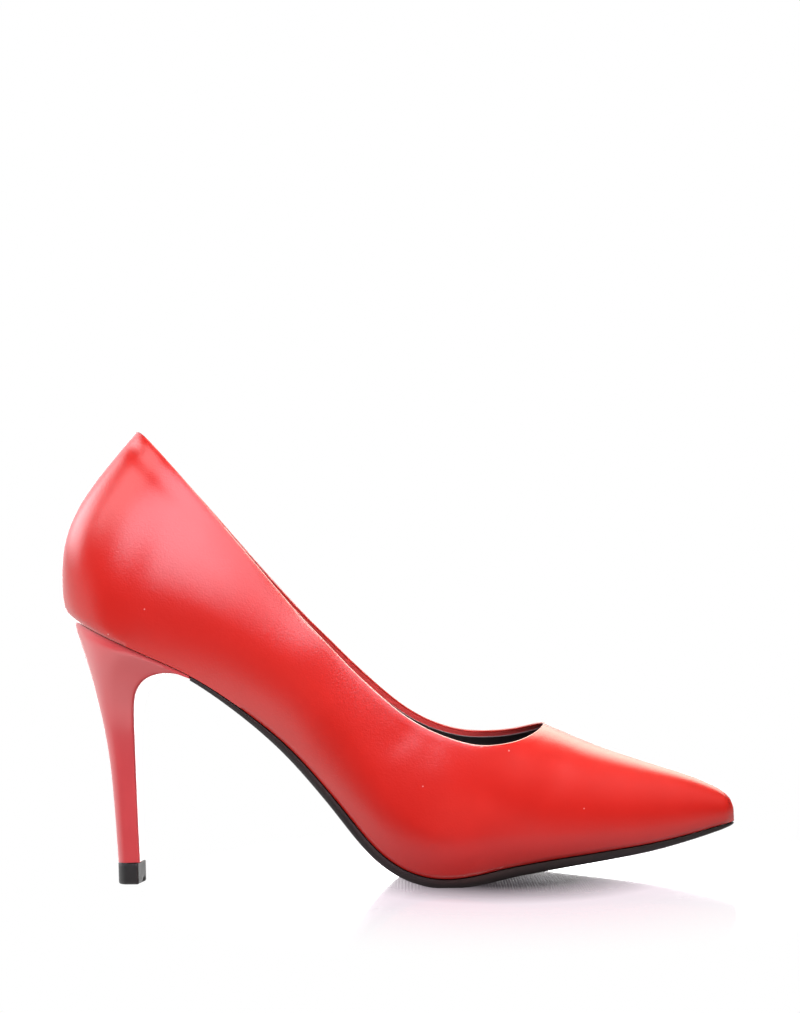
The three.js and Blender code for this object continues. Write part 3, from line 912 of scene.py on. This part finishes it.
# The top piece: its sides, its turn under the heel and the nick low on its front
TIP_BACK = -100.4
TIP_LENGTH = 8.3
TIP_HALF = 4.7
TIP_ROUND = 0.52
TIP_CORNER = 0.5
TIP_TWIST_DEG = -8
TIP_LEVELS = [
    [TIP_HEIGHT, 0.15], [TIP_HEIGHT - 0.15, 0], [5.5, 0], [4, 0], [2.8, 0], [2.2, 0], [1.6, 0],
    [1.1, 0], [0.7, 0], [0.35, 0.05], [0.1, 0.2], [0, 0.4],
]
FRONT_BAND = 0.1
NICK_DEPTH = 0.9
NICK_ASIDE = 1.6
NICK_WIDE = 0.8
NICK_FADE = (0.4, 2.2)


def heel_outline(length, half, round_share, corner):
    """Half outline of a heel section, from the middle of its front to the middle of its back."""
    corner = min(corner, half * CORNER_LIMIT)
    back = length * round_share
    turn = np.linspace(0, math.pi / 2, CORNER_STEPS)
    front = [(length, y) for y in np.linspace(0, half - corner, FRONT_STEPS)[:-1]]
    bend = [(length - corner * (1 - math.cos(t)), half - corner * (1 - math.sin(t))) for t in turn]
    side = [(a, half) for a in np.linspace(length - corner, back, SIDE_STEPS)[1:-1]]
    quarter = np.linspace(0, math.pi / 2, BACK_STEPS)
    around = [(back * (1 - math.sin(t)), half * math.cos(t)) for t in quarter]
    return np.array(front + bend + side + around)


def whole_outline(half_outline):
    """A half outline with its mirror image, once round the section."""
    mirrored = half_outline[1:-1][::-1] * [1, -1]
    return np.concatenate([half_outline, mirrored])


def heel_ring(row):
    """One section of the heel between its back and front points."""
    back = np.array([row["backX"], row["backZ"]])
    front = np.array([row["frontX"], row["frontZ"]])
    length = np.linalg.norm(front - back)
    ahead = (front - back) / length
    outline = whole_outline(heel_outline(length, row["half"], row["round"], CORNER))
    spot = back + outline[:, :1] * ahead
    return np.stack([spot[:, 0], heel_middle + outline[:, 1], spot[:, 1]], -1)


def seat_ring(ring):
    """The heel's top edge over its first section, following the seat of the upper."""
    x = np.clip(ring[:, 0] - SEAT_SETBACK, HEEL_BACK + SEAT_END_GAP, BREAST)
    seat = []
    for spot, y in zip(x, ring[:, 1]):
        moved, offset = inset_plan(spot, side_of(y - heel_middle), HEEL_INSET)
        limit = abs(float(offset))
        aside = float(np.clip(y - last["swing"](moved), -limit, limit))
        seat.append(shifted(moved, aside, -SEAM_GAP))
    return np.array(seat)


def dense_rings(rings, steps):
    """Rings between the given ones, each point on a smooth path down the body."""
    middle = rings.mean(axis=1)
    along = np.concatenate([[0], np.cumsum(np.linalg.norm(np.diff(middle, axis=0), axis=1))])
    at = np.linspace(0, along[-1], steps)
    flat = rings.reshape(len(rings), -1)
    paths = [eased(curve(along, path), 0, along[-1], HEEL_EASE)(at) for path in flat.T]
    return np.stack(paths, -1).reshape(steps, rings.shape[1], 3)


def make_heel():
    """The covered heel block, from the seat of the upper down to the top piece."""
    names = HEEL_COLUMNS.split()
    given = np.array([heel_ring(dict(zip(names, row))) for row in HEEL_ROWS])
    rings = np.concatenate([seat_ring(given[0])[None], dense_rings(given, HEEL_RINGS)])
    skin = Skin()
    skin.tube(rings, from_middle=True)
    heel = skin.piece("heel_block", [heel_cover], sharp_deg=45)
    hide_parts("heel")
    return heel


def make_tip():
    """The rubber top piece, turned a little under the heel, with worn lower edges and a nick."""
    middle = TIP_BACK + TIP_LENGTH / 2
    turn = math.radians(TIP_TWIST_DEG)
    rings = []
    for z, inset in TIP_LEVELS:
        length = TIP_LENGTH - 2 * inset
        outline = whole_outline(heel_outline(length, TIP_HALF - inset, TIP_ROUND, TIP_CORNER))
        ahead = outline[:, 0] + inset - TIP_LENGTH / 2
        aside = outline[:, 1]
        nick = NICK_DEPTH * np.exp(-((aside - NICK_ASIDE) / NICK_WIDE)**2)
        nick = nick * (1 - smoothstep(z, *NICK_FADE))
        ahead = ahead - np.where(ahead > TIP_LENGTH / 2 - inset - FRONT_BAND, nick, 0)
        x = middle + ahead * math.cos(turn) - aside * math.sin(turn)
        y = heel_middle + ahead * math.sin(turn) + aside * math.cos(turn)
        rings.append(np.stack([x, y, np.full(len(x), z)], -1))
    skin = Skin()
    skin.tube(np.array(rings), from_middle=True)
    tip = skin.piece("top_piece", [tip_rubber], sharp_deg=45)
    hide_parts("heel_tip")
    return tip


pieces = [make_upper(), make_lining(), make_sock(), make_sole(), make_heel(), make_tip()]


# Camera at the photograph's angle

CAMERA_PLACE = (0.005, -0.540, 0.080)
CAMERA_LENS = 54.5
CAMERA_SENSOR = 36
CAMERA_ROLL_DEG = 1.62
CAMERA_SHIFT = (-0.0127, 0.1384)


def make_camera():
    data = bpy.data.cameras.new("camera")
    data.lens = CAMERA_LENS
    data.sensor_width = CAMERA_SENSOR
    data.shift_x, data.shift_y = CAMERA_SHIFT
    camera = bpy.data.objects.new("camera", data)
    camera.location = CAMERA_PLACE
    camera.rotation_euler = (math.radians(90), math.radians(CAMERA_ROLL_DEG), 0)
    bpy.context.scene.collection.objects.link(camera)
    bpy.context.scene.camera = camera


# Floor, light and background

# The floor, in metres: it fades out round a centre under the vamp, from clear to end
FLOOR_SIZE = 1.0
FLOOR_COLOUR = (0.72, 0.73, 0.77, 1)
FLOOR_ROUGHNESS = 0.06
FLOOR_LEVEL = -0.0002
FLOOR_CLEAR = 0.045
FLOOR_END = 0.13
FLOOR_CENTRE = 0.037
FLOOR_DEEP = 0.85
FLOOR_GLOSS = (0.95, 0.20)
GLOSS_FADE = (0.027, 0.058)
FLOOR_GLOW = 0.7
GLOW_STRENGTH = 1.3
# The glow's pink-lilac tint is a painted reflection tint: it shows where the floor mirrors the red shoe
GLOW_COLOUR = (1, 0.87, 0.96, 1)

# Colours of the light
NEUTRAL = (1, 1, 1)
BOUNCE = (1.0, 0.14, 0.12)
COOL = (0.97, 0.94, 1.0)
WARM = (1.0, 0.93, 0.78)
KEY_COLOUR = (0.90, 0.86, 1.0)

# Soft panels of light by direction: azimuth from the camera's side towards the toe, elevation,
# half width, half height and soft edge in degrees, then strength and colour
PANEL_COLUMNS = "azimuth elevation half_wide half_high edge strength colour"
PANEL_ROWS = [
    [-108, 26, 20, 12, 7, 6.3, COOL],
    [-146, 26, 16, 20, 8, 1.6, COOL],
    [-105, -26, 40, 32, 10, 1.4, NEUTRAL],
    [150, 38, 24, 13, 5, 6.4, WARM],
    [180, -2, 26, 18, 6, 6.0, NEUTRAL],
    [52, 40, 34, 18, 10, 0.4, NEUTRAL],
    [0, 90, 180, 24, 10, 2.2, NEUTRAL],
    [0, -60, 180, 50, 12, 0.15, NEUTRAL],
    [-35, -44, 34, 20, 4, 1.9, NEUTRAL],
    [85, -30, 50, 26, 12, 0.7, NEUTRAL],
    [0, 0, 180, 90, 1, 0.06, NEUTRAL],
]

# Soft boxes near the shoe: place, aim, turn about the aim, width, height, spread of the beam,
# strength and colour
BOX_COLUMNS = "name place aim turn wide high spread strength colour"
BOX_ROWS = [
    ["key_rear", (-0.195, -0.25, 0.266), (-0.195, 0, 0.266), 0, 0.14, 0.128, 180, 7.6, KEY_COLOUR],
    ["key_middle", (-0.0875, -0.25, 0.234), (-0.0875, 0, 0.234), 0, 0.075, 0.186, 180, 7.8,
     KEY_COLOUR],
    ["key", (-0.025, -0.25, 0.247), (-0.025, 0, 0.247), 0, 0.05, 0.158, 180, 8.2, KEY_COLOUR],
    ["key_front", (0.050, -0.25, 0.264), (0.050, 0, 0.264), 12, 0.11, 0.14, 180, 5.2, KEY_COLOUR],
    ["side", (-0.40, -0.23, 0.44), (-0.09, -0.02, 0.13), 0, 0.30, 0.22, 180, 4.2, COOL],
    ["toe_light", (0.09, -0.10, 0.31), (0.09, -0.10, 0), 0, 0.22, 0.12, 180, 6.5, NEUTRAL],
    ["low", (0.06, -0.28, 0.03), (0.06, 0, 0.02), 0, 0.26, 0.06, 180, 3.4, BOUNCE],
    ["front", (0.20, -0.20, 0.40), (0.06, -0.03, 0.02), 0, 0.24, 0.10, 50, 2.6, NEUTRAL],
]


def make_boxes(lit):
    """Soft boxes that light the shoe alone."""
    shoe = bpy.data.collections.new("shoe")
    for body in lit:
        shoe.objects.link(body)
    for row in BOX_ROWS:
        box = dict(zip(BOX_COLUMNS.split(), row))
        data = bpy.data.lights.new(box["name"], "AREA")
        data.shape = "RECTANGLE"
        data.size = box["wide"]
        data.size_y = box["high"]
        data.spread = math.radians(box["spread"])
        data.energy = box["strength"] * math.pi * data.size * data.size_y
        data.color = box["colour"]
        light = bpy.data.objects.new(box["name"], data)
        light.location = box["place"]
        aim = Vector(box["aim"]) - Vector(box["place"])
        turn = Quaternion((0, 0, 1), math.radians(box["turn"]))
        light.rotation_mode = "QUATERNION"
        light.rotation_quaternion = aim.to_track_quat("-Z", "Y") @ turn
        light.visible_camera = False
        light.light_linking.receiver_collection = shoe
        bpy.context.scene.collection.objects.link(light)


def mixed_shaders(nodes, links, share, first, second):
    """Two shaders mixed by a number or by another node's value."""
    mix = nodes.new("ShaderNodeMixShader")
    if isinstance(share, float):
        mix.inputs["Fac"].default_value = share
    else:
        links.new(share, mix.inputs["Fac"])
    links.new(first, mix.inputs[1])
    links.new(second, mix.inputs[2])
    return mix.outputs["Shader"]


def soft_step(nodes, links, source, low, high):
    """A smooth rise from 0 to 1 between two values."""
    rise = nodes.new("ShaderNodeMapRange")
    rise.interpolation_type = "SMOOTHSTEP"
    rise.inputs["From Min"].default_value = low
    rise.inputs["From Max"].default_value = high
    links.new(source, rise.inputs["Value"])
    return rise.outputs["Result"]


def floor_distance(nodes, links):
    """Distance from the place that the floor fades out round, less in depth than in length."""
    spread = nodes.new("ShaderNodeVectorMath")
    spread.operation = "MULTIPLY_ADD"
    spread.inputs[1].default_value = (1, FLOOR_DEEP, 0)
    spread.inputs[2].default_value = (-FLOOR_CENTRE, 0, 0)
    links.new(nodes.new("ShaderNodeTexCoord").outputs["Object"], spread.inputs[0])
    away = nodes.new("ShaderNodeVectorMath")
    away.operation = "LENGTH"
    links.new(spread.outputs["Vector"], away.inputs[0])
    return away.outputs["Value"]


def floor_material():
    """Pale and matt with its own glow, glossy near the shoe and clear far from it."""
    material, nodes, links, shader = node_material("floor_white")
    nodes.remove(shader)
    matt = nodes.new("ShaderNodeBsdfDiffuse")
    matt.inputs["Color"].default_value = FLOOR_COLOUR
    glow = nodes.new("ShaderNodeEmission")
    glow.inputs["Color"].default_value = GLOW_COLOUR
    glow.inputs["Strength"].default_value = GLOW_STRENGTH
    gloss = nodes.new("ShaderNodeBsdfGlossy")
    gloss.inputs["Roughness"].default_value = FLOOR_ROUGHNESS
    clear = nodes.new("ShaderNodeBsdfTransparent")
    away = floor_distance(nodes, links)
    pale = mixed_shaders(nodes, links, FLOOR_GLOW, matt.outputs["BSDF"], glow.outputs["Emission"])
    shine = ramp(nodes, links, away, *GLOSS_FADE, *FLOOR_GLOSS)
    finish = mixed_shaders(nodes, links, shine, pale, gloss.outputs["BSDF"])
    fade = soft_step(nodes, links, away, FLOOR_CLEAR, FLOOR_END)
    whole = mixed_shaders(nodes, links, fade, finish, clear.outputs["BSDF"])
    links.new(whole, nodes["Material Output"].inputs["Surface"])
    return material


def make_floor():
    """A pale floor with a faint mirror image, fading out into the white background."""
    mesh = bpy.data.meshes.new("floor")
    signs = ((-1, -1), (1, -1), (1, 1), (-1, 1))
    corners = [(x * FLOOR_SIZE, y * FLOOR_SIZE, FLOOR_LEVEL) for x, y in signs]
    mesh.from_pydata(corners, [], [(0, 1, 2, 3)])
    mesh.materials.append(floor_material())
    floor = bpy.data.objects.new("floor", mesh)
    bpy.context.scene.collection.objects.link(floor)


def panel_light(nodes, links, azimuth, elevation, panel):
    """One soft-edged panel of light around a direction."""
    aside = math_node(nodes, links, "SUBTRACT", azimuth, math.radians(panel["azimuth"]))
    aside = math_node(nodes, links, "WRAP", aside, math.pi, -math.pi)
    above = math_node(nodes, links, "SUBTRACT", elevation, math.radians(panel["elevation"]))
    strength = panel["strength"]
    for angle, half in ((aside, panel["half_wide"]), (above, panel["half_high"])):
        off = math_node(nodes, links, "ABSOLUTE", angle)
        limits = (math.radians(half + panel["edge"]), math.radians(half - panel["edge"]))
        within = soft_step(nodes, links, off, *limits)
        strength = math_node(nodes, links, "MULTIPLY", strength, within)
    light = nodes.new("ShaderNodeBackground")
    light.inputs["Color"].default_value = (*panel["colour"], 1)
    links.new(strength, light.inputs["Strength"])
    return light.outputs["Background"]


def make_world():
    """A white background for the camera, and a dim room with soft panels for everything else."""
    world = bpy.data.worlds.new("studio")
    bpy.context.scene.world = world
    world.use_nodes = True
    nodes = world.node_tree.nodes
    links = world.node_tree.links
    nodes.clear()
    way = nodes.new("ShaderNodeSeparateXYZ")
    links.new(nodes.new("ShaderNodeTexCoord").outputs["Generated"], way.inputs["Vector"])
    elevation = math_node(nodes, links, "ARCSINE", way.outputs["Z"])
    towards = math_node(nodes, links, "MULTIPLY", way.outputs["Y"], -1.0)
    azimuth = math_node(nodes, links, "ARCTAN2", way.outputs["X"], towards)
    room = None
    for row in PANEL_ROWS:
        panel = dict(zip(PANEL_COLUMNS.split(), row))
        light = panel_light(nodes, links, azimuth, elevation, panel)
        if room is None:
            room = light
            continue
        both = nodes.new("ShaderNodeAddShader")
        links.new(room, both.inputs[0])
        links.new(light, both.inputs[1])
        room = both.outputs["Shader"]
    seen = nodes.new("ShaderNodeBackground")
    seen.inputs["Color"].default_value = (1, 1, 1, 1)
    by_camera = nodes.new("ShaderNodeLightPath").outputs["Is Camera Ray"]
    both_ways = mixed_shaders(nodes, links, by_camera, room, seen.outputs["Background"])
    out = nodes.new("ShaderNodeOutputWorld")
    links.new(both_ways, out.inputs["Surface"])


make_camera()
make_floor()
make_boxes(pieces)
make_world()
bpy.context.scene.view_settings.view_transform = "Standard"
